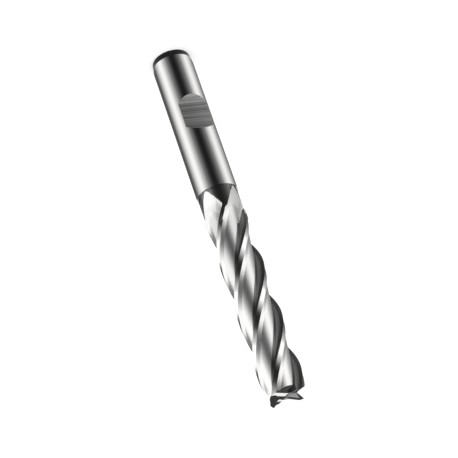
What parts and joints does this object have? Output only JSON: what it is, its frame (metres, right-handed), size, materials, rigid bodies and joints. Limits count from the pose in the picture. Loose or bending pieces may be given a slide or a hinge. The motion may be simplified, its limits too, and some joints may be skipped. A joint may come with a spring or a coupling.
{
  "type": "end mill",
  "caption": "Long straight-shank end mill with right-hand spiral flutes, centre-cutting end teeth, a thin neck and a clamping flat on its shank.",
  "frame": {"origin": "centre of the shank's end face, which the tool stands on", "axes": "+Z along the tool's axis from the shank to the cutting tip; -Y is the outward normal of the clamping flat"},
  "size_m": [0.01, 0.01, 0.094],
  "materials": {
    "tool_steel": "ground and bright, with a dark chamfer at the shank's end"
  },
  "bodies": {
    "root": {"endmill": "tool_steel"}
  },
  "joints": []
}
